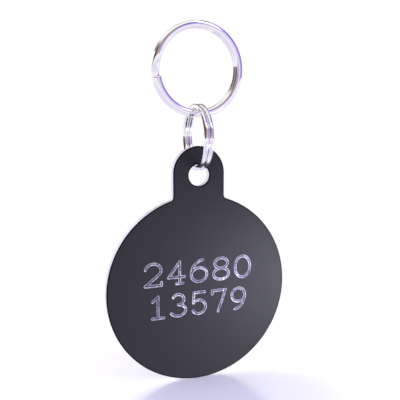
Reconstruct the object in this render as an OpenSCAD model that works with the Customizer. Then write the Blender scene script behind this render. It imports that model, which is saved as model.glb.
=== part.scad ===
// Pet id tag: a round engraved plate that hangs from a small split ring, which hangs from a large one.
// The origin is where a collar's loop bears: the top of the large ring's opening, midway through its depth.
// Z is up, and the engraved face looks along -Y.

/* [Tag] */
// Diameter of the round plate
disc_d = 38; // [32:0.5:44]
// Thickness of the plate
tag_t = 1.5; // [1:0.1:2.2]
// Width of the lug on top of the plate
lug_w = 10.7; // [9.5:0.1:13]
// Rise of the lug above the round plate's edge
lug_rise = 9.7; // [9:0.1:12]
// Diameter of the hole in the lug
hole_d = 4.3; // [4:0.1:4.8]
// Metal between the hole and the lug's top
hole_web = 3.6; // [2.5:0.1:4]
// Radius of the inside corners where the lug meets the plate
corner_r = 0.8; // [0.4:0.1:2]
// Bevel along both outside edges of the plate
edge_bevel = 0.12; // [0.05:0.01:0.3]

/* [Engraving] */
// Width of the engraved line
line_w = 0.47; // [0.3:0.01:0.7]
// Depth of the engraved line
line_depth = 0.15; // [0.1:0.05:0.4]
// Height of the digits
digit_h = 4.9; // [4:0.1:5.5]
// Width of a digit in the upper row
upper_digit_w = 3.8; // [3:0.1:4.2]
// Step from one digit to the next in the upper row
upper_step = 4.8; // [4.6:0.1:5.2]
// Width of a digit in the lower row
lower_digit_w = 3.4; // [2.8:0.1:3.8]
// Step from one digit to the next in the lower row
lower_step = 4.35; // [4.2:0.05:5]
// Space between the two rows
row_gap = 1.8; // [1:0.1:3]
// Height of the middle of that space above the round plate's centre
rows_z = 0.3; // [-2:0.1:2]

/* [Large split ring] */
// Outer diameter
large_d = 18.4; // [16:0.1:24]
// Width of the wire, across the ring's band
large_w = 1.47; // [1:0.01:1.8]
// Thickness of the wire, along the ring's axis
large_t = 0.92; // [0.85:0.01:1.2]
// Length of the stretch where the wire crosses over and lies single
large_cross = 4.5; // [3:0.1:7]

/* [Small split ring] */
// Outer diameter
small_d = 13; // [12:0.1:16]
// Width of the wire, across the ring's band
small_w = 1; // [0.85:0.01:1.3]
// Thickness of the wire, along the ring's axis
small_t = 0.94; // [0.85:0.01:1.1]
// Length of the stretch where the wire crosses over and lies single
small_cross = 3.8; // [2.6:0.1:6]

/* [Fits] */
// Space between the two turns of a split ring
turn_gap = 0.06; // [0.04:0.01:0.15]
// Clearance where a piece hangs in the next one
hang_gap = 0.12; // [0.08:0.01:0.3]
// Radius of the wire's rounded edges
wire_edge = 0.4; // [0.1:0.01:0.42]

/* [Hidden] */
$fn = 96;

// Depth of each ring along its axis, and radius of its opening
large_depth = 2 * large_t + turn_gap;
small_depth = 2 * small_t + turn_gap;
large_in_r = large_d / 2 - large_w;
small_in_r = small_d / 2 - small_w;
// Half the width of the flat that each wire bears on, between its rounded edges
large_flat = large_depth / 2 - wire_edge;
small_flat = small_depth / 2 - wire_edge;

// Heights, from the top down: each piece bears where its curve meets the corner of the next one's flat
large_z = -large_in_r;
small_z = large_z - to_chord(large_in_r, small_flat) + hang_gap - to_chord(small_in_r, large_flat);
hole_z = small_z - to_chord(small_in_r, tag_t / 2) + hang_gap - to_chord(hole_d / 2, small_flat);
lug_top_z = hole_z + hole_d / 2 + hole_web;
disc_z = lug_top_z - lug_rise - disc_d / 2;

// Where each ring is split, as an angle round it: left of the large one, low at the back of the small one
large_split_at = 175;
small_split_at = -55;

// Steps in a crossing stretch and in each rounded edge of the wire, and degrees in a step of an engraved curve
cross_steps = 12;
edge_steps = 4;
curve_step = 15;
// The crossing runs this many degrees into the turns at its ends, this much slimmer, so that they are one wire
weld_lap = 2;
weld_ease = 0.01;
// The rounding of the lug's inside corners cuts this deep into both sides, so that no surface just touches
corner_bite = 0.01;
// The engraving's lines are drawn this thin, then widened to line_w
hair = 0.02;

upper_digits = [2, 4, 6, 8, 0];
lower_digits = [1, 3, 5, 7, 9];

// Distance from a circle's centre to a chord of that half length
function to_chord(r, half) = sqrt(r * r - half * half);

// The wire's cross-section drawn in by that much, as distance from the ring's axis and height along it
function wire_section(d, w, t, drawn_in = 0) = [
    for (corner = [[1, 1, 0], [-1, 1, 90], [-1, -1, 180], [1, -1, 270]])
        for (i = [0 : edge_steps])
            let (a = corner[2] + 90 * i / edge_steps)
                [(d - w) / 2 + corner.x * (w / 2 - drawn_in - wire_edge) + wire_edge * cos(a),
                 corner.y * (t / 2 - drawn_in - wire_edge) + wire_edge * sin(a)]
];

// One turn of wire at that height, with its middle at angle 180 and its ends half_split either side of 0
module turn(section, height, half_split) {
    rotate_extrude(angle = 360 - 2 * half_split, start = half_split)
        translate([0, height]) polygon(section);
}

// The stretch that leads from the end of the upper turn down to the start of the lower one
module crossing(section, height, half_split) {
    n = len(section);
    stations = [
        [-half_split - weld_lap, height],
        for (i = [0 : cross_steps])
            [half_split * (2 * i / cross_steps - 1), height * cos(180 * i / cross_steps)],
        [half_split + weld_lap, -height]
    ];
    last = len(stations) - 1;
    points = [for (s = stations) for (p = section) [p.x * cos(s[0]), p.x * sin(s[0]), p.y + s[1]]];
    sides = [
        for (i = [0 : last - 1]) for (k = [0 : n - 1])
            let (a = i * n + k, b = i * n + (k + 1) % n)
                each [[a, b + n, a + n], [a, b, b + n]]
    ];
    start_cap = [for (k = [n - 1 : -1 : 0]) k];
    end_cap = [for (k = [0 : n - 1]) last * n + k];
    polyhedron(points, concat([start_cap, end_cap], sides));
}

// A split ring about the Z axis: one flat wire wound twice round, with its crossing at angle 0
module split_ring(d, w, t, cross_length) {
    section = wire_section(d, w, t);
    height = (t + turn_gap) / 2;
    half_split = cross_length / (d - w) * 180 / PI;
    turn(section, height, half_split);
    turn(section, -height, half_split);
    crossing(wire_section(d, w, t, weld_ease), height, half_split);
}

module large_split_ring() {
    color("gainsboro")
        translate([0, 0, large_z])
            rotate([90, 0, 0])
                rotate([0, 0, large_split_at])
                    split_ring(large_d, large_w, large_t, large_cross);
}

module small_split_ring() {
    color("silver")
        translate([0, 0, small_z])
            rotate([90, 0, 90])
                rotate([0, 0, small_split_at])
                    split_ring(small_d, small_w, small_t, small_cross);
}

// Half of the plate's bevelled cross-section, out to that distance from its middle
function plate_section(half) = [
    [0, -tag_t / 2], [half - edge_bevel, -tag_t / 2], [half, edge_bevel - tag_t / 2],
    [half, tag_t / 2 - edge_bevel], [half - edge_bevel, tag_t / 2], [0, tag_t / 2]
];

// The plate with its front face up, the disc's centre at the origin and the lug along +Y
module plate() {
    lug_r = lug_w / 2;
    lug_y = disc_d / 2 + lug_rise - lug_r;
    rotate_extrude($fn = 180) polygon(plate_section(disc_d / 2));
    translate([0, lug_y, 0]) rotate_extrude(angle = 180) polygon(plate_section(lug_r));
    for (side = [0, 1])
        mirror([side, 0, 0]) {
            translate([0, lug_y, 0]) rotate([90, 0, 0])
                linear_extrude(lug_y) polygon(plate_section(lug_r));
            corner_fill(lug_r);
        }
}

// The metal that rounds off the inside corner at one side of the lug, from well inside both: a block
// that reaches the rounding's centre, less a round with flared ends that leaves the same bevels
module corner_fill(lug_r) {
    centre = [lug_r + corner_r, to_chord(disc_d / 2 + corner_r, lug_r + corner_r)];
    touch = centre * disc_d / (disc_d + 2 * corner_r);
    root = [lug_r / 2, touch.y - corner_r];
    cut_r = corner_r + corner_bite;
    flare = tag_t / 2 + edge_bevel;
    difference() {
        translate([0, 0, -tag_t / 2])
            linear_extrude(tag_t)
                polygon([[root.x, centre.y], centre, touch, [touch.x, root.y], root]);
        translate(centre) rotate_extrude() polygon([
            [0, -tag_t], [cut_r + flare, -tag_t], [cut_r, edge_bevel - tag_t / 2],
            [cut_r, tag_t / 2 - edge_bevel], [cut_r + flare, tag_t], [0, tag_t]
        ]);
    }
}

// Part of an ellipse, from one angle to another
function bend(x, y, rx, ry, from, to) =
    let (steps = ceil(abs(to - from) / curve_step))
        [for (i = [0 : steps]) let (a = from + (to - from) * i / steps) [x + rx * cos(a), y + ry * sin(a)]];

// The lines of a digit, in a cell from -0.5 to 0.5 across and 0 to 1 up
function digit_lines(n) =
    n == 0 ? [bend(0, 0.5, 0.5, 0.5, 0, 360)] :
    n == 1 ? [[[-0.36, 0.78], [0, 1], [0, 0]], [[-0.4, 0], [0.4, 0]]] :
    n == 2 ? [concat(bend(0, 0.7, 0.48, 0.3, 170, -35), [[-0.5, 0], [0.5, 0], [0.5, 0.14]])] :
    n == 3 ? [bend(-0.04, 0.76, 0.42, 0.24, 150, -90), bend(-0.04, 0.26, 0.54, 0.26, 90, -155)] :
    n == 4 ? [[[0.2, 0], [0.2, 1], [-0.5, 0.3], [0.5, 0.3]], [[0, 0], [0.4, 0]]] :
    n == 5 ? [concat([[0.4, 1], [-0.38, 1], [-0.42, 0.52]], bend(-0.02, 0.32, 0.5, 0.32, 140, -150))] :
    n == 6 ? [bend(0.3, 0.34, 0.8, 0.66, 95, 180), bend(0, 0.32, 0.5, 0.32, 0, 360)] :
    n == 7 ? [[[-0.5, 0.84], [-0.5, 1], [0.5, 1], [-0.06, 0]]] :
    n == 8 ? [bend(0, 0.76, 0.42, 0.24, 0, 360), bend(0, 0.26, 0.5, 0.26, 0, 360)] :
    [bend(-0.3, 0.66, 0.8, 0.66, -85, 0), bend(0, 0.68, 0.5, 0.32, 0, 360)];

// A row of digits, centred across, with its foot at the origin
module digit_row(digits, digit_w, step) {
    for (i = [0 : len(digits) - 1])
        translate([(i - (len(digits) - 1) / 2) * step, line_w / 2])
            for (line = digit_lines(digits[i]))
                thin_line([for (p = line) [p.x * (digit_w - line_w), p.y * (digit_h - line_w)]]);
}

module thin_line(points) {
    for (i = [0 : len(points) - 2])
        let (along = points[i + 1] - points[i])
            translate(points[i]) rotate(atan2(along.y, along.x))
                translate([0, -hair / 2]) square([norm(along), hair]);
}

module engraving() {
    linear_extrude(tag_t)
        offset(r = (line_w - hair) / 2, $fn = 16)
            translate([0, rows_z]) {
                translate([0, row_gap / 2]) digit_row(upper_digits, upper_digit_w, upper_step);
                translate([0, -row_gap / 2 - digit_h]) digit_row(lower_digits, lower_digit_w, lower_step);
            }
}

module tag() {
    color("#3e3d45")
        translate([0, 0, disc_z])
            rotate([90, 0, 0])
                difference() {
                    plate();
                    translate([0, hole_z - disc_z, -tag_t]) cylinder(d = hole_d, h = 2 * tag_t);
                    translate([0, 0, tag_t / 2 - line_depth]) engraving();
                }
}

tag();
small_split_ring();
large_split_ring();
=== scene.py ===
"""A pet id tag: a black anodised plate with engraved digits, on a small and a large split ring.

Lengths are in metres, and sizes are written in millimetres times mm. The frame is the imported
model's: Z is up, the engraved face looks along -Y, and the origin is where a collar's loop bears
in the large ring.
"""

import math

import bmesh
import bpy
import numpy as np
from mathutils import Matrix, Vector
from mathutils.geometry import delaunay_2d_cdt


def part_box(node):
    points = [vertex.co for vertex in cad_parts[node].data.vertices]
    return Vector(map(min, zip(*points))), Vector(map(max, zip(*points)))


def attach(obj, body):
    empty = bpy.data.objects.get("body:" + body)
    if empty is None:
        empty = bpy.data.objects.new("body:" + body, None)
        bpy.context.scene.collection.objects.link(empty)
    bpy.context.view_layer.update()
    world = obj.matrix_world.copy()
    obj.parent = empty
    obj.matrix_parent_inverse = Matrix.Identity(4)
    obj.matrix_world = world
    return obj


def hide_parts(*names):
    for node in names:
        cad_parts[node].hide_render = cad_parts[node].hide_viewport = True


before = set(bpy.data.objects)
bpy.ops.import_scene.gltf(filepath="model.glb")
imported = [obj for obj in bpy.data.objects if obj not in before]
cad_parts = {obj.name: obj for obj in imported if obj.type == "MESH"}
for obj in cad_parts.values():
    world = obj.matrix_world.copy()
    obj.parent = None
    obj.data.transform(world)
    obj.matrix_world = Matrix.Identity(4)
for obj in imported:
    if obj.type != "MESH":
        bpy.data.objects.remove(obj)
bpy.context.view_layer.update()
scene = bpy.context.scene
mm = 0.001

# The tag: one plate blanked from 1.5 mm aluminium sheet that was anodised black on both faces, so
# that its edge and the wall of its drilled hole are bare. Its digits are engraved into bare metal.
# The plate is drawn lying down: x across, y up from the disc's centre, z out of the front face.

plate_low, plate_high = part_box("tag")
disc_r = (plate_high.x - plate_low.x) / 2
plate_t = plate_high.y - plate_low.y
disc_centre = Vector((0, (plate_low.y + plate_high.y) / 2, plate_low.z + disc_r))
lug_r = 10.7 * mm / 2
lug_y = plate_high.z - lug_r - disc_centre.z
corner_r = 0.8 * mm
hole_r = 4.3 * mm / 2
above_hole = 3.6 * mm
hole_y = lug_y + lug_r - above_hole - hole_r
plate_edge_r = 0.18 * mm
flat_border = 0.12 * mm
film_wrap = 0.14 * mm
film_end_wave = 0.02 * mm
film_end_blur = 0.004 * mm


def arc(centre, radius, start, end, step):
    """Points along an arc, a step of degrees apart, and the way out of the metal at each.

    An arc that runs clockwise bounds a hollow. The end point is left to the next line or arc.
    """
    count = math.ceil(abs(end - start) / step)
    outward = 1 if end > start else -1
    for i in range(count):
        a = math.radians(start + (end - start) * i / count)
        direction = Vector((math.cos(a), math.sin(a)))
        yield Vector(centre) + radius * direction, outward * direction


def plate_outline():
    """Points round the plate, counter-clockwise from its lug's right, and the way out at each."""
    corner_x = lug_r + corner_r
    corner_y = math.sqrt((disc_r + corner_r) ** 2 - corner_x**2)
    lean = math.degrees(math.atan2(corner_y, corner_x))
    side_steps = 12
    sides = [corner_y + (lug_y - corner_y) * i / side_steps for i in range(side_steps)]
    yield from arc((0, lug_y), lug_r, 0, 180, step=3)
    yield from ((Vector((-lug_r, y)), Vector((-1, 0))) for y in [lug_y] + sides[:0:-1])
    yield from arc((-corner_x, corner_y), corner_r, 0, -lean, step=9)
    yield from arc((0, 0), disc_r, 180 - lean, 360 + lean, step=1)
    yield from arc((corner_x, corner_y), corner_r, 180 + lean, 180, step=9)
    yield from ((Vector((lug_r, y)), Vector((1, 0))) for y in sides)


def hole_outline():
    """Points round the hole, counter-clockwise, and the way out of the metal at each."""
    for point, outward in arc((0, hole_y), hole_r, 0, 360, step=3):
        yield point, -outward


def edge_section(steps=4):
    """Stations across the plate's edge, from the front face to the back: (distance in, height)."""
    front = [(plate_edge_r + flat_border, plate_t / 2)]
    for i in range(steps + 1):
        turn = math.radians(90 * i / steps)
        drop = plate_edge_r * (1 - math.cos(turn))
        front.append((plate_edge_r * (1 - math.sin(turn)), plate_t / 2 - drop))
    return front + [(inset, -height) for inset, height in reversed(front)]


# The digits' lines are cut by a small cutter that wanders a little: each is a flat-bottomed groove
# with sloping sides and a fine burr along its edges. Each digit from 0 to 9 is drawn as lines in a
# cell that runs from -0.5 to 0.5 across and from 0 to 1 up.

line_w = 0.47 * mm
line_floor_w = 0.2 * mm
line_depth = 0.15 * mm
edge_wave = 0.16 * line_w
floor_wave = 0.2 * line_w
digit_h = 4.9 * mm
upper_row = {"digits": (2, 4, 6, 8, 0), "width": 3.8 * mm, "step": 4.8 * mm, "foot": 1.2 * mm}
lower_row = {"digits": (1, 3, 5, 7, 9), "width": 3.4 * mm, "step": 4.35 * mm, "foot": -5.5 * mm}
patch_size = (24.6 * mm, 12.9 * mm)
patch_y = 0.3 * mm


def bend(x, y, rx, ry, start, end):
    """Points along part of an ellipse, five degrees apart or a little less."""
    steps = math.ceil(abs(end - start) / 5)
    angles = [math.radians(start + (end - start) * i / steps) for i in range(steps + 1)]
    return [(x + rx * math.cos(a), y + ry * math.sin(a)) for a in angles]


DIGIT_LINES = [
    [bend(0, 0.5, 0.5, 0.5, 0, 360)],
    [[(-0.36, 0.78), (0, 1), (0, 0)], [(-0.4, 0), (0.4, 0)]],
    [bend(0, 0.7, 0.48, 0.3, 170, -35) + [(-0.5, 0), (0.5, 0), (0.5, 0.14)]],
    [bend(-0.04, 0.76, 0.42, 0.24, 150, -90), bend(-0.04, 0.26, 0.54, 0.26, 90, -155)],
    [[(0.2, 0), (0.2, 1), (-0.5, 0.3), (0.5, 0.3)], [(0, 0), (0.4, 0)]],
    [[(0.4, 1), (-0.38, 1), (-0.42, 0.52)] + bend(-0.02, 0.32, 0.5, 0.32, 140, -150)],
    [bend(0.3, 0.34, 0.8, 0.66, 95, 180), bend(0, 0.32, 0.5, 0.32, 0, 360)],
    [[(-0.5, 0.84), (-0.5, 1), (0.5, 1), (-0.06, 0)]],
    [bend(0, 0.76, 0.42, 0.24, 0, 360), bend(0, 0.26, 0.5, 0.26, 0, 360)],
    [bend(-0.3, 0.66, 0.8, 0.66, -85, 0), bend(0, 0.68, 0.5, 0.32, 0, 360)],
]


def row_lines(digits, width, step, foot):
    """The lines of a row of digits, each a list of points on the face."""
    for place, digit in enumerate(digits):
        middle = (place - (len(digits) - 1) / 2) * step
        across, up = width - line_w, digit_h - line_w
        for line in DIGIT_LINES[digit]:
            yield [(middle + x * across, foot + line_w / 2 + y * up, 0) for x, y in line]


def lines_mesh(lines):
    """A mesh of loose edges along those lines."""
    points, edges = [], []
    for line in lines:
        edges += [(len(points) + i, len(points) + i + 1) for i in range(len(line) - 1)]
        points += line
    mesh = bpy.data.meshes.new("lines")
    mesh.from_pydata(points, edges, [])
    return mesh


class Lead:
    """A socket of a node tree. Arithmetic on leads adds Math nodes, and add makes other nodes."""

    def __init__(self, socket):
        self.socket = socket
        self.tree = socket.id_data

    @staticmethod
    def add(tree, kind, values=(), out=0, stops=(), **settings):
        """A new node: its settings and a ramp's stops first, then its sockets' values or leads."""
        node = tree.nodes.new(kind)
        for name, value in settings.items():
            setattr(node, name, value)
        for place, colour in stops:
            # A new ramp already has a stop at 0 and one at 1
            ready = [stop for stop in node.color_ramp.elements if stop.position == place]
            stop = ready[0] if ready else node.color_ramp.elements.new(place)
            stop.color = colour
        for name, value in dict(values).items():
            if isinstance(value, Lead):
                tree.links.new(value.socket, node.inputs[name])
            else:
                node.inputs[name].default_value = value
        return Lead(node.outputs[out]) if node.outputs else None

    def other(self, name):
        """Another output of the same node."""
        return Lead(self.socket.node.outputs[name])

    def math(self, operation, *others):
        """A Math node on this and any other numbers."""
        numbers = dict(enumerate((self, *others)))
        return self.add(self.tree, "ShaderNodeMath", numbers, operation=operation)

    def vector(self, operation, *others, out=0):
        """A Vector Math node on this and any other vectors."""
        vectors = dict(enumerate((self, *others)))
        return self.add(self.tree, "ShaderNodeVectorMath", vectors, out=out, operation=operation)

    def scaled(self, factor):
        """A vector times a number."""
        both = {"Vector": self, "Scale": factor}
        return self.add(self.tree, "ShaderNodeVectorMath", both, operation="SCALE")

    def ease(self, low, high):
        """0 below low, 1 above high and smooth between them."""
        limits = {"Value": self, "From Min": low, "From Max": high}
        return self.add(self.tree, "ShaderNodeMapRange", limits, interpolation_type="SMOOTHSTEP")

    def pick(self, first, second):
        """The first colour where this is 0, the second where it is 1."""
        colours = {0: self, 6: first, 7: second}
        return self.add(self.tree, "ShaderNodeMix", colours, out=2, data_type="RGBA")

    def __add__(self, other):
        return self.math("ADD", other)

    def __sub__(self, other):
        return self.math("SUBTRACT", other)

    def __rsub__(self, other):
        return self.math("MULTIPLY_ADD", -1, other)

    def __mul__(self, other):
        return self.math("MULTIPLY", other)

    def __truediv__(self, other):
        return self.math("DIVIDE", other)

    def __rtruediv__(self, other):
        return self.math("POWER", -1) * other

    def __pow__(self, other):
        return self.math("POWER", other)

    __radd__ = __add__
    __rmul__ = __mul__


def new_tree(name, sizes):
    """A Geometry Nodes tree and its named inputs as leads. The inputs are given by kind."""
    tree = bpy.data.node_groups.new(name, "GeometryNodeTree")
    tree.interface.new_socket("Geometry", in_out="OUTPUT", socket_type="NodeSocketGeometry")
    for size, kind in sizes.items():
        tree.interface.new_socket(size, in_out="INPUT", socket_type="NodeSocket" + kind)
    entry = tree.nodes.new("NodeGroupInput")
    return tree, {size: Lead(entry.outputs[size]) for size in sizes}


def end_tree(tree, geometry, material):
    """Ends a tree in Realize Instances and Set Material."""
    real = Lead.add(tree, "GeometryNodeRealizeInstances", {"Geometry": geometry})
    painted = Lead.add(tree, "GeometryNodeSetMaterial", {"Geometry": real, "Material": material})
    Lead.add(tree, "NodeGroupOutput", {"Geometry": painted})


def grow(name, tree, source, **sizes):
    """The plain mesh that a tree makes of a source mesh.

    Sizes go by the names of the tree's inputs, in small letters and with _ for spaces.
    """
    maker = bpy.data.objects.new(name, source)
    scene.collection.objects.link(maker)
    modifier = maker.modifiers.new(name, "NODES")
    modifier.node_group = tree
    for item in tree.interface.items_tree:
        key = item.name.lower().replace(" ", "_")
        if item.in_out == "INPUT" and key in sizes:
            modifier[item.identifier] = sizes[key]
    depsgraph = bpy.context.evaluated_depsgraph_get()
    grown = bpy.data.meshes.new_from_object(
        maker.evaluated_get(depsgraph), preserve_all_data_layers=True, depsgraph=depsgraph
    )
    bpy.data.objects.remove(maker)
    grown.name = name
    return grown


def engraving_tree():
    """Cuts grooves along lines into a fine grid, and keeps the part of the grid near them."""
    tree, size = new_tree("engraved_lines", {
        "Lines": "Geometry", "Line width": "Float", "Floor width": "Float", "Depth": "Float",
        "Edge wave": "Float", "Floor wave": "Float", "Chatter": "Float",
        "Burr height": "Float", "Burr width": "Float", "Wander": "Float",
        "Cell": "Float", "Margin": "Float",
        "Patch width": "Float", "Patch height": "Float", "Patch middle": "Float",
        "Seed": "Float", "Metal": "Material",
    })

    def noise(scale, turn, detail=1.0, out="Fac"):
        """Noise over the face, with features of that size, drawn anew for each turn of the seed."""
        where = {"Vector": position, "W": size["Seed"] + turn}
        where |= {"Scale": 1 / scale, "Detail": detail}
        return Lead.add(tree, "ShaderNodeTexNoise", where, out=out, noise_dimensions="4D")

    position = Lead.add(tree, "GeometryNodeInputPosition")
    fine = Lead.add(tree, "GeometryNodeSubdivideMesh", {"Mesh": size["Lines"], "Level": 3})
    drift = noise(1.1 * mm, turn=0, out="Color").vector("SUBTRACT", (0.5, 0.5, 0.5))
    drift = drift.vector("MULTIPLY", (2, 2, 0)).scaled(size["Wander"])
    cut_lines = Lead.add(tree, "GeometryNodeSetPosition", {"Geometry": fine, "Offset": drift})

    grid = Lead.add(tree, "GeometryNodeMeshGrid", {
        "Size X": size["Patch width"], "Size Y": size["Patch height"],
        "Vertices X": size["Patch width"] / size["Cell"] + 1,
        "Vertices Y": size["Patch height"] / size["Cell"] + 1,
    })
    middle = Lead.add(tree, "ShaderNodeCombineXYZ", {"Y": size["Patch middle"]})
    grid = Lead.add(tree, "GeometryNodeSetPosition", {"Geometry": grid, "Offset": middle})
    nearest = Lead.add(
        tree, "GeometryNodeProximity", {"Geometry": cut_lines, "Sample Position": position},
        out="Position", target_element="EDGES",
    )
    distance = nearest.other("Distance")
    half = size["Line width"] / 2
    too_far = {0: distance, 1: half + size["Margin"]}
    band = Lead.add(tree, "GeometryNodeDeleteGeometry", {
        "Geometry": grid,
        "Selection": Lead.add(tree, "FunctionNodeCompare", too_far, operation="GREATER_THAN"),
    }, domain="FACE")

    # Points within half a cell of a groove's edge, or of its floor's, are drawn onto it, so that
    # both run clean. A fiftieth of a cell keeps the division sound where a point lies on a line
    edge = half + (noise(0.45 * mm, turn=3, detail=2.0) - 0.5) * size["Edge wave"]
    floor = size["Floor width"] / 2 + (noise(0.3 * mm, turn=5) - 0.5) * size["Floor wave"]
    on_edge = distance.math("COMPARE", edge, size["Cell"] / 2)
    on_floor = distance.math("COMPARE", floor, size["Cell"] / 2) * (1 - on_edge)
    reach = distance + on_edge * (edge - distance) + on_floor * (floor - distance)
    pull = reach / distance.math("MAXIMUM", size["Cell"] / 50)
    along_face = nearest.vector("ADD", position.vector("SUBTRACT", nearest).scaled(pull))

    slope = ((edge - reach) / (edge - floor)).math("MINIMUM", 1).math("MAXIMUM", 0)
    chatter = (noise(0.16 * mm, turn=7, detail=2.0) - 0.5) * size["Chatter"] + 1
    across_burr = (reach - edge) / size["Burr width"]
    ridge = (1 - (across_burr * 2 - 1).math("ABSOLUTE")).math("MAXIMUM", 0)
    patchy = noise(0.3 * mm, turn=9, detail=2.0).ease(0.4, 0.65)
    burr = ridge * patchy * size["Burr height"]
    height = burr - slope * chatter * size["Depth"]
    raised = along_face.vector("ADD", Lead.add(tree, "ShaderNodeCombineXYZ", {"Z": height}))
    # The metal is bare out to a quarter of the burr's width, and the film is whole from half of it
    bare = (across_burr * -4 + 2).math("MINIMUM", 1).math("MAXIMUM", 0)

    for mark, share in (("bare", bare), ("sunk", slope)):
        marked = {"Geometry": band, "Name": mark, "Value": share}
        band = Lead.add(tree, "GeometryNodeStoreNamedAttribute", marked)
    band = Lead.add(tree, "GeometryNodeSetPosition", {"Geometry": band, "Position": raised})
    end_tree(tree, band, size["Metal"])
    return tree


# The tag's surfaces: a satin black film with a fine grain, painted matt jet black where it rounds
# over to the edge as a painted dark reflection; the bright edge, with the fine lines that blanking
# left across its thickness; and the cut metal of the grooves, with dull patches painted dim and
# violet as a painted reflection, and painted shade darkening their floors.

FILM = (0.0083, 0.008, 0.0122, 1)
PAINTED_DARK_RIM = (0.003, 0.003, 0.004, 1)
FILM_IOR = 1.43
BARE_EDGE = (0.9, 0.89, 0.93, 1)
CUT_METAL = (1.0, 0.96, 0.95, 1)
CUT_DULL_AND_PAINTED_REFLECTION = (0.38, 0.34, 0.48, 1)
CUT_FLOOR_PAINTED_SHADE = (0.11, 0.1, 0.16, 1)


def new_material(name):
    """A material and its node tree, which is empty."""
    material = bpy.data.materials.new(name)
    material.use_nodes = True
    material.node_tree.nodes.clear()
    return material, material.node_tree


def tag_material():
    """The film, the bare edge and the cut metal, told apart by depth and by the mesh's marks."""
    material, tree = new_material("anodised_aluminium")
    place = Lead.add(tree, "ShaderNodeTexCoord", out="Object")

    def noise(scale, detail, stretch=(1, 1, 1)):
        """Noise in the solid, with features of that size."""
        placed = place.vector("MULTIPLY", stretch)
        where = {"Vector": placed, "Scale": 1 / scale, "Detail": detail}
        return Lead.add(tree, "ShaderNodeTexNoise", where)

    from_middle = Lead.add(tree, "ShaderNodeSeparateXYZ", {0: place}, out="Y") - disc_centre.y
    cut = Lead.add(tree, "ShaderNodeAttribute", attribute_name="bare", out="Fac")
    sunk = Lead.add(tree, "ShaderNodeAttribute", attribute_name="sunk", out="Fac")
    film_end = plate_t / 2 - film_wrap + (noise(0.5 * mm, detail=2) - 0.5) * film_end_wave
    edge = 1 - (from_middle.math("ABSOLUTE") - film_end).ease(-film_end_blur, film_end_blur)
    bare = cut.math("MAXIMUM", edge)

    grain = noise(0.05 * mm, detail=2)
    cloud = noise(4 * mm, detail=3)
    blanking = noise(0.07 * mm, detail=3, stretch=(1, 0.08, 1))
    tool_marks = noise(0.07 * mm, detail=3)
    film_rough = 0.54 + (cloud - 0.5) * 0.06 + (grain - 0.5) * 0.04
    edge_rough = 0.2 + blanking * 0.25
    cut_rough = 0.2 + tool_marks * 0.3
    metal_rough = edge_rough + (cut_rough - edge_rough) * cut
    # Painted shade darkens the grooves' floors, in streaks, and dull patches, painted dim and
    # violet as a painted reflection, lie over the rest
    streaks = noise(0.22 * mm, detail=3)
    painted_floor_shade = (sunk * 1.4 + (streaks - 0.5) * 3 + (cloud - 0.5) * 2).ease(0.6, 1.2)
    dull_and_painted_reflection = noise(0.55 * mm, detail=3).ease(0.45, 0.6)
    metal = cut.pick(BARE_EDGE, painted_floor_shade.pick(dull_and_painted_reflection.pick(CUT_METAL, CUT_DULL_AND_PAINTED_REFLECTION), CUT_FLOOR_PAINTED_SHADE))
    relief = grain * (1 - bare) * 0.35 + blanking * edge + tool_marks * cut * 1.5
    bumpy = {"Strength": 0.3, "Distance": 0.01 * mm, "Height": relief}
    finish = Lead.add(tree, "ShaderNodeBsdfPrincipled", {
        "Base Color": bare.pick(FILM, metal),
        "Metallic": bare * (0.35 + sunk * 0.6),
        "Roughness": film_rough + (metal_rough - film_rough) * bare,
        "IOR": FILM_IOR,
        "Normal": Lead.add(tree, "ShaderNodeBump", bumpy),
    })
    # Where the film rounds over to the edge it is painted matt jet black: a painted dark
    # reflection.
    rim = Lead.add(tree, "ShaderNodeAttribute", attribute_name="rim", out="Fac")
    rim = rim.ease(0.3, 0.8) * (1 - bare)
    painted_dark_rim_shader = Lead.add(tree, "ShaderNodeBsdfDiffuse", {"Color": PAINTED_DARK_RIM})
    shader = Lead.add(tree, "ShaderNodeMixShader", {0: rim, 1: finish, 2: painted_dark_rim_shader})
    Lead.add(tree, "ShaderNodeOutputMaterial", {"Surface": shader})
    return material


def inside(points, loop_starts, loop_ends):
    """For each point, whether it lies inside the region that those edges bound.

    It does where a ray from it crosses an odd number of them.
    """
    result = np.zeros(len(points), bool)
    x0, y0 = loop_starts[:, 0], loop_starts[:, 1]
    x1, y1 = loop_ends[:, 0], loop_ends[:, 1]
    # A level edge has no slope, and nothing crosses it
    with np.errstate(divide="ignore", invalid="ignore"):
        slope = (x1 - x0) / (y1 - y0)
        for i, (x, y) in enumerate(points):
            crosses = ((y0 > y) != (y1 > y)) & (x0 + (y - y0) * slope > x)
            result[i] = crosses.sum() % 2 == 1
    return result


def fill_face(points, loops):
    """Triangles between closed loops of points of a flat face, as indices into points."""
    used = sorted({i for loop in loops for edge in loop for i in edge})
    place = {index: n for n, index in enumerate(used)}
    flat = [Vector((points[i][0] / mm, points[i][1] / mm)) for i in used]
    edges = [(place[a], place[b]) for loop in loops for a, b in loop]
    every_triangle, least_distance = 0, 1e-6
    corners, _, faces, origins, _, _ = delaunay_2d_cdt(
        flat, edges, [], every_triangle, least_distance
    )
    centres = [sum((corners[i] for i in face), Vector((0, 0))) / 3 for face in faces]
    starts = np.array([flat[a] for a, _ in edges])
    ends = np.array([flat[b] for _, b in edges])
    keep = inside(centres, starts, ends)
    return [[used[origins[i][0]] for i in face] for face, kept in zip(faces, keep) if kept]


def closed(start, count):
    """The edges of a closed loop of that many points."""
    return [(start + i, start + (i + 1) % count) for i in range(count)]


def rim_edges(mesh):
    """The edges that only one face of a mesh uses."""
    uses = np.zeros(len(mesh.edges), int)
    for polygon in mesh.polygons:
        for loop in polygon.loop_indices:
            uses[mesh.loops[loop].edge_index] += 1
    return [tuple(mesh.edges[i].vertices) for i in np.flatnonzero(uses == 1)]


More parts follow.
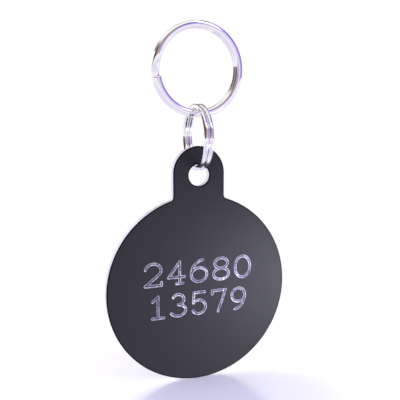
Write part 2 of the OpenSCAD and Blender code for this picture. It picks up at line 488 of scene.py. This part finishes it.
def tag_mesh(engraved):
    """The plate: its wall, its hole's wall, its back, and a front face round the engraved part."""
    points, faces = [], []
    points += [(v.co.x, v.co.y, v.co.z + plate_t / 2) for v in engraved.vertices]
    faces += [list(polygon.vertices) for polygon in engraved.polygons]
    marks = {"rim": [0.0] * len(points)}
    for name in ("bare", "sunk"):
        marks[name] = [point.value for point in engraved.attributes[name].data]
    front, back = [rim_edges(engraved)], []
    for outline, turned in ((list(plate_outline()), False), (list(hole_outline()), True)):
        section, count, start = edge_section(), len(outline), len(points)
        for inset, height in section:
            points += [(p.x - n.x * inset, p.y - n.y * inset, height) for p, n in outline]
            marks["rim"] += [float(inset <= plate_edge_r)] * count
        for ring in range(len(section) - 1):
            for i, j in closed(0, count):
                a, b = start + ring * count + i, start + ring * count + j
                wall = [a, a + count, b + count, b]
                faces.append(wall[::-1] if turned else wall)
        front.append(closed(start, count))
        back.append(closed(start + (len(section) - 1) * count, count))
    faces += fill_face(points, front)
    faces += [face[::-1] for face in fill_face(points, back)]
    stood = [(x, disc_centre.y - z, disc_centre.z + y) for x, y, z in points]
    mesh = bpy.data.meshes.new("tag")
    mesh.from_pydata(stood, [], faces)
    for name, values in marks.items():
        values += [0.0] * (len(points) - len(values))
        mesh.attributes.new(name, "FLOAT", "POINT").data.foreach_set("value", values)
    return mesh


def piece(name, mesh, material, crease):
    """An object of a finished mesh, smooth but for edges sharper than the crease, in degrees."""
    mesh.materials.clear()
    mesh.materials.append(material)
    mesh.shade_smooth()
    mesh.set_sharp_from_angle(angle=math.radians(crease))
    made = bpy.data.objects.new(name, mesh)
    scene.collection.objects.link(made)
    return made


anodised = tag_material()
digit_paths = lines_mesh([*row_lines(**upper_row), *row_lines(**lower_row)])
engraved_digits = grow(
    "engraved_digits", engraving_tree(), digit_paths,
    line_width=line_w, floor_width=line_floor_w, depth=line_depth,
    edge_wave=edge_wave, floor_wave=floor_wave, chatter=0.35,
    burr_height=0.02 * mm, burr_width=0.1 * mm, wander=0.035 * mm,
    cell=0.05 * mm, margin=0.3 * mm,
    patch_width=patch_size[0], patch_height=patch_size[1], patch_middle=patch_y,
    seed=4.0, metal=anodised,
)
tag = piece("engraved_tag", tag_mesh(engraved_digits), anodised, crease=30)
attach(tag, "tag_plate")
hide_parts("tag")

# The small split ring: one flattened spring-steel wire wound twice round, chrome plated. Its two
# turns lie against each other, and where the wire crosses from one to the other it lies single for
# a few millimetres. It passes through the hole in the tag.

turn_gap = 0.06 * mm
wire_end_r = 0.1 * mm


def wire_tree():
    """One wire wound twice round the Z axis, with the middle of its crossing at angle 0."""
    tree, size = new_tree("split_ring_wire", {
        "Mesh": "Geometry", "Centreline radius": "Float", "Wire width": "Float",
        "Wire thickness": "Float", "Turn gap": "Float", "Crossing length": "Float",
        "Squareness": "Float", "Stations": "Int", "Section points": "Int", "Metal": "Material",
    })
    radius = size["Centreline radius"]
    half_crossing = size["Crossing length"] / 2 / radius
    line = Lead.add(tree, "GeometryNodeCurvePrimitiveLine")
    line = Lead.add(tree, "GeometryNodeResampleCurve", {"Curve": line, "Count": size["Stations"]})
    along = Lead.add(tree, "GeometryNodeSplineParameter", out="Factor")
    angle = half_crossing + along * (4 * math.pi - 2 * half_crossing)
    across = ((angle - 2 * math.pi) / half_crossing).math("MAXIMUM", -1).math("MINIMUM", 1)
    step = (size["Wire thickness"] + size["Turn gap"]) / 2
    spot = Lead.add(tree, "ShaderNodeCombineXYZ", {
        "X": radius * angle.math("COSINE"),
        "Y": radius * angle.math("SINE"),
        "Z": (across * (math.pi / -2)).math("SINE") * step,
    })
    wound = {"Geometry": line, "Name": "along", "Value": angle * radius}
    line = Lead.add(tree, "GeometryNodeStoreNamedAttribute", wound)
    line = Lead.add(tree, "GeometryNodeSetPosition", {"Geometry": line, "Position": spot})
    line = Lead.add(tree, "GeometryNodeSetCurveNormal", {"Curve": line}, mode="Z_UP")

    on_circle = Lead.add(tree, "GeometryNodeInputPosition")

    def bulge(name, width):
        """One coordinate of a circle's point, pushed out towards a rounded rectangle's."""
        value = Lead.add(tree, "ShaderNodeSeparateXYZ", {0: on_circle}, out=name)
        pushed = value.math("ABSOLUTE") ** (2 / size["Squareness"])
        return pushed * value.math("SIGN") * width / 2

    section = {"Resolution": size["Section points"], "Radius": 1.0}
    section = Lead.add(tree, "GeometryNodeCurvePrimitiveCircle", section)
    shaped = {"X": bulge("X", size["Wire width"]), "Y": bulge("Y", size["Wire thickness"])}
    shaped = Lead.add(tree, "ShaderNodeCombineXYZ", shaped)
    section = Lead.add(tree, "GeometryNodeSetPosition", {"Geometry": section, "Position": shaped})
    kept = {"Geometry": section, "Name": "section", "Value": on_circle}
    section = Lead.add(tree, "GeometryNodeStoreNamedAttribute", kept, data_type="FLOAT_VECTOR")
    wire = {"Curve": line, "Profile Curve": section, "Fill Caps": True}
    end_tree(tree, Lead.add(tree, "GeometryNodeCurveToMesh", wire), size["Metal"])
    return tree


CHROME = (0.95, 0.95, 0.96, 1)
CHROME_SCUFFED = (0.88, 0.87, 0.9, 1)


def chrome_material():
    """Bright chrome over drawn wire: fine lines along the wire and a few light scuffs."""
    material, tree = new_material("ring_chrome")
    section = Lead.add(tree, "ShaderNodeAttribute", attribute_name="section", out="Vector")
    along = Lead.add(tree, "ShaderNodeAttribute", attribute_name="along", out="Fac")
    lengthways = Lead.add(tree, "ShaderNodeCombineXYZ", {"Z": along * 0.03})
    place = Lead.add(tree, "ShaderNodeTexCoord", out="Object")

    def noise(where, scale, detail):
        """Noise with features of that size."""
        where = {"Vector": where, "Scale": 1 / scale, "Detail": detail}
        return Lead.add(tree, "ShaderNodeTexNoise", where)

    drawn = noise(section.vector("ADD", lengthways), 0.09 * mm, detail=3)
    scuffed = noise(place, 1.3 * mm, detail=4).ease(0.5, 0.75)
    bumpy = {"Strength": 0.05, "Distance": 0.005 * mm, "Height": drawn}
    shader = Lead.add(tree, "ShaderNodeBsdfPrincipled", {
        "Base Color": scuffed.pick(CHROME, CHROME_SCUFFED),
        "Metallic": 1.0,
        "Roughness": 0.05 + drawn * 0.04 + scuffed * 0.05,
        "Normal": Lead.add(tree, "ShaderNodeBump", bumpy),
    })
    Lead.add(tree, "ShaderNodeOutputMaterial", {"Surface": shader})
    return material


def round_ends(mesh, radius):
    """Rounds the edges of the wire's cut ends, its only faces with more than four corners."""
    shape = bmesh.new()
    shape.from_mesh(mesh)
    ends = [face for face in shape.faces if len(face.verts) > 4]
    edges = [edge for face in ends for edge in face.edges]
    bmesh.ops.bevel(shape, geom=edges, offset=radius, segments=3, profile=0.5, affect="EDGES")
    bmesh.ops.recalc_face_normals(shape, faces=shape.faces)
    shape.to_mesh(mesh)
    shape.free()


wire_maker = wire_tree()
chrome = chrome_material()


def split_ring(name, radius, depth, wire_w, crossing, place):
    """A split ring of that outer radius and depth, moved to its place from flat at the origin."""
    mesh = grow(
        name, wire_maker, bpy.data.meshes.new("empty"),
        centreline_radius=radius - wire_w / 2, wire_width=wire_w,
        wire_thickness=(depth - turn_gap) / 2, turn_gap=turn_gap, crossing_length=crossing,
        squareness=2.15, stations=420, section_points=56, metal=chrome,
    )
    round_ends(mesh, wire_end_r)
    mesh.transform(place)
    return piece(name, mesh, chrome, crease=35)


# It stands across the large ring, with its crossing turned out of sight.
low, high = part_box("small_split_ring")
small_place = (
    Matrix.Translation((low + high) / 2)
    @ Matrix.Rotation(math.radians(90), 4, "Z")
    @ Matrix.Rotation(math.radians(90), 4, "X")
    @ Matrix.Rotation(math.radians(-55), 4, "Z")
)
small_ring = split_ring(
    "small_ring_wire", radius=(high.y - low.y) / 2, depth=high.x - low.x,
    wire_w=1.0 * mm, crossing=3.8 * mm, place=small_place,
)
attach(small_ring, "small_ring")
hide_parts("small_split_ring")

# The large split ring: the same in a heavier wire. It passes through the small ring, and its split
# is on the left, where the front turn ends and the rear turn begins.

low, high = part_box("large_split_ring")
large_place = (
    Matrix.Translation((low + high) / 2)
    @ Matrix.Rotation(math.radians(90), 4, "X")
    @ Matrix.Rotation(math.radians(175), 4, "Z")
)
large_ring = split_ring(
    "large_ring_wire", radius=(high.x - low.x) / 2, depth=high.y - low.y,
    wire_w=1.47 * mm, crossing=4.5 * mm, place=large_place,
)
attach(large_ring, "large_ring")
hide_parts("large_split_ring")

# The studio: a white floor that keeps the object's shadow and fades to plain white away from it,
# coloured walls that only the bright metal mirrors, a pale sky, four lamps, and the camera.

floor_z = plate_low.z
floor_radius = 4.0
WHITE = (1, 1, 1, 1)
# The floor's glow as mirrors see it: a painted pool of light at the foot, a painted violet shadow
# nearby, and a pale tint far off.
MIRRORED_FOOT_PAINTED_LIGHT = (1.0, 0.96, 1.0, 1)
MIRRORED_PAINTED_SHADOW = (0.8, 0.75, 0.94, 1)
FLOOR_FAR = (0.98, 0.94, 1.0, 1)


def seen(tree):
    """1 for a ray from the camera, a mirroring surface or glass, and 0 for falling light."""
    camera = Lead.add(tree, "ShaderNodeLightPath", out="Is Camera Ray")
    glossy = camera.other("Is Glossy Ray")
    return camera.math("MAXIMUM", glossy).math("MAXIMUM", camera.other("Is Transmission Ray"))


def floor_material():
    """A floor that takes shadows near the object and is plain white beyond, or in mirrors painted
    light and shade, then a pale tint.
    """
    material, tree = new_material("studio_floor")
    place = Lead.add(tree, "ShaderNodeTexCoord", out="Object")
    away = place.vector("LENGTH", out="Value")
    mirrored = Lead.add(tree, "ShaderNodeLightPath", out="Is Glossy Ray")
    # Mirrors see only the glow, never the floor's real shadow: a painted pool of light at the
    # object's foot, a painted violet shadow round it, and a pale tint far off.
    plain = ((0.1 + away.ease(25 * mm, 70 * mm) * 0.9) * seen(tree)).math("MAXIMUM", mirrored)
    shadowed = Lead.add(tree, "ShaderNodeBsdfDiffuse", {"Color": WHITE})
    painted_foot_light_and_shadow = away.ease(15 * mm, 45 * mm).pick(MIRRORED_FOOT_PAINTED_LIGHT, MIRRORED_PAINTED_SHADOW)
    painted_mirrored_floor = away.ease(50 * mm, 400 * mm).pick(painted_foot_light_and_shadow, FLOOR_FAR)
    glow = {"Color": mirrored.pick(WHITE, painted_mirrored_floor), "Strength": 1.0}
    glowing = Lead.add(tree, "ShaderNodeEmission", glow)
    mixed = Lead.add(tree, "ShaderNodeMixShader", {0: plain, 1: shadowed, 2: glowing})
    Lead.add(tree, "ShaderNodeOutputMaterial", {"Surface": mixed})
    return material


disc = bmesh.new()
bmesh.ops.create_circle(disc, cap_ends=True, segments=64, radius=floor_radius)
floor_mesh = bpy.data.meshes.new("studio_floor")
disc.to_mesh(floor_mesh)
disc.free()
floor_mesh.materials.append(floor_material())
floor = bpy.data.objects.new("studio_floor", floor_mesh)
floor.location.z = floor_z
scene.collection.objects.link(floor)

# The room that the bright metal mirrors: a brown wall on the left, a tall brown board far behind, a
# violet wall with a brown top on the right, and in front a mauve board beside a violet screen. Each
# colour is given at its share of the height from the floor to the wall's top.
room_half = 1.2
LEFT_WALL = [
    (0.0, (0.16, 0.12, 0.10, 1)),
    (0.2, (0.085, 0.055, 0.03, 1)),
    (0.6, (0.13, 0.085, 0.055, 1)),
    (0.75, (0.3, 0.22, 0.16, 1)),
    (1.0, (1, 1, 1, 1)),
]
BACK_BOARD = [
    (0.0, (0.2, 0.13, 0.08, 1)),
    (0.6, (0.2, 0.13, 0.08, 1)),
    (1.0, (1, 1, 1, 1)),
]
RIGHT_WALL = [
    (0.0, (0.42, 0.26, 0.66, 1)),
    (0.2, (0.26, 0.17, 0.72, 1)),
    (0.52, (0.28, 0.19, 0.75, 1)),
    (0.57, (0.16, 0.1, 0.05, 1)),
    (0.75, (0.28, 0.21, 0.14, 1)),
    (1.0, (1, 1, 1, 1)),
]
FRONT_BOARD = [
    (0.0, (0.75, 0.70, 0.84, 1)),
    (0.2, (0.42, 0.33, 0.45, 1)),
    (0.6, (0.38, 0.28, 0.35, 1)),
    (0.75, (0.22, 0.14, 0.08, 1)),
    (0.85, (0.3, 0.2, 0.12, 1)),
    (1.0, (1, 1, 1, 1)),
]
VIOLET_SCREEN = [
    (0.0, (0.8, 0.74, 0.95, 1)),
    (0.25, (0.66, 0.56, 0.9, 1)),
    (0.4, (0.17, 0.11, 0.6, 1)),
    (0.85, (0.17, 0.11, 0.6, 1)),
    (1.0, (1, 1, 1, 1)),
]


def wall_material(name, stops, top, pale, pale_from, pale_to):
    """A glowing wall whose colour changes up to its top.

    It may turn pale towards its far ends, between two distances to the front and the back.
    """
    material, tree = new_material(name)
    place = Lead.add(tree, "ShaderNodeTexCoord", out="Object")
    height = Lead.add(tree, "ShaderNodeSeparateXYZ", {0: place}, out="Z")
    share = (height - floor_z) / (top - floor_z)
    colour = Lead.add(tree, "ShaderNodeValToRGB", {0: share}, stops=stops)
    if pale:
        colour = height.other("Y").math("ABSOLUTE").ease(pale_from, pale_to).pick(colour, pale)
    glow = Lead.add(tree, "ShaderNodeEmission", {"Color": colour, "Strength": 1.0})
    Lead.add(tree, "ShaderNodeOutputMaterial", {"Surface": glow})
    return material


def studio_wall(name, start, end, top, stops, pale=None, pale_from=0, pale_to=0):
    """An upright wall between two points of the floor, which only a mirroring surface shows."""
    points = [(*start, floor_z), (*end, floor_z), (*end, top), (*start, top)]
    mesh = bpy.data.meshes.new(name)
    mesh.from_pydata(points, [], [(0, 1, 2, 3)])
    mesh.materials.append(wall_material(name, stops, top, pale, pale_from, pale_to))
    wall = bpy.data.objects.new(name, mesh)
    scene.collection.objects.link(wall)
    wall.visible_camera = False
    wall.visible_diffuse = False
    wall.visible_shadow = False
    wall.visible_transmission = False


studio_wall("left_wall", (-room_half, -1.6), (-room_half, 1.7), top=1.5, stops=LEFT_WALL)
studio_wall("back_board", (-0.3, 3.5), (3.0, 3.5), top=10, stops=BACK_BOARD)
studio_wall(
    "right_wall", (room_half, 2.2), (room_half, -2.2), top=3.3, stops=RIGHT_WALL,
    pale=(0.72, 0.66, 0.9, 1), pale_from=0.7, pale_to=2.2,
)
studio_wall("front_board", (-1.25, -1.5), (0.4, -1.5), top=1.25, stops=FRONT_BOARD)
studio_wall("violet_screen", (0.4, -1.5), (0.7, -1.5), top=1.25, stops=VIOLET_SCREEN)

# The sky is plain white where it is seen, and lights the object with a pale violet.
SKY_IN_FRONT = (0.70, 0.69, 1.06, 1)
SKY_BEHIND = (0.82, 0.79, 1.08, 1)
world = bpy.data.worlds.new("pale_sky")
scene.world = world
world.use_nodes = True
sky = world.node_tree
sky.nodes.clear()
direction = Lead.add(sky, "ShaderNodeTexCoord", out="Generated")
toward_back = Lead.add(sky, "ShaderNodeSeparateXYZ", {0: direction}, out="Y").ease(-0.5, 0.5)
fill = toward_back.pick(SKY_IN_FRONT, SKY_BEHIND)
falling = Lead.add(sky, "ShaderNodeBackground", {"Color": fill, "Strength": 1.0})
shown = Lead.add(sky, "ShaderNodeBackground", {"Color": WHITE, "Strength": 1.0})
Lead.add(sky, "ShaderNodeOutputWorld", {
    "Surface": Lead.add(sky, "ShaderNodeMixShader", {0: seen(sky), 1: falling, 2: shown}),
})


def soft_lamp(name, place, aim, size, watts, colour):
    """An area lamp at a place, turned towards a point. Its size is its width and height."""
    light = bpy.data.lights.new(name, "AREA")
    light.shape = "RECTANGLE"
    light.size, light.size_y = size
    light.energy = watts
    light.color = colour
    lamp = bpy.data.objects.new(name, light)
    lamp.location = place
    lamp.rotation_euler = (Vector(aim) - Vector(place)).to_track_quat("-Z", "Y").to_euler()
    scene.collection.objects.link(lamp)
    lamp.visible_camera = False
    return lamp


# A low lamp behind the tag throws its narrow shadow to the front, and a high one the wide pale
# shadow on the right. A weak lamp in front lights the face. A small gridded card beside the tag,
# which shows only as gloss, brightens the satin film towards the right.
foot = Vector((0, 0, floor_z))
low_lamp = soft_lamp(
    "low_lamp", foot + Vector((0.383, 0.832, 0.4)), foot,
    size=(0.14, 0.14), watts=5.0, colour=(1.0, 0.99, 0.6),
)
low_lamp.visible_glossy = False
high_lamp = soft_lamp(
    "high_lamp", foot + Vector((-0.173, 0.513, 0.841)), foot,
    size=(0.3, 0.3), watts=1.5, colour=(1.0, 0.97, 0.5),
)
high_lamp.visible_glossy = False
soft_lamp(
    "front_lamp", (0.42, -0.62, 0.55), foot,
    size=(0.3, 0.3), watts=0.7, colour=(1.0, 0.97, 0.9),
)
near_card = soft_lamp(
    "near_card", (0.048, -0.034, -0.0558), (0.012, 0, -0.0635),
    size=(0.044, 0.0285), watts=0.016, colour=(0.84, 0.86, 1.0),
)
near_card.data.spread = math.radians(82)
near_card.visible_diffuse = False

# The camera stands 21 degrees to the left of the face and 8 degrees above it, as in the photo.
camera_aim = Vector((0.00048, 0, -0.03324))
camera_distance = 124.2 * mm
camera_left = math.radians(21.04)
camera_up = math.radians(8.35)
camera_data = bpy.data.cameras.new("camera")
camera_data.lens = 56.1
camera_data.sensor_width = 36
camera_data.clip_start = 0.005
camera = bpy.data.objects.new("camera", camera_data)
level = math.cos(camera_up)
camera_from = Vector((
    -math.sin(camera_left) * level, -math.cos(camera_left) * level, math.sin(camera_up)
))
camera.location = camera_aim + camera_distance * camera_from
camera.rotation_euler = camera_from.to_track_quat("Z", "Y").to_euler()
scene.collection.objects.link(camera)
scene.camera = camera
scene.view_settings.view_transform = "Standard"
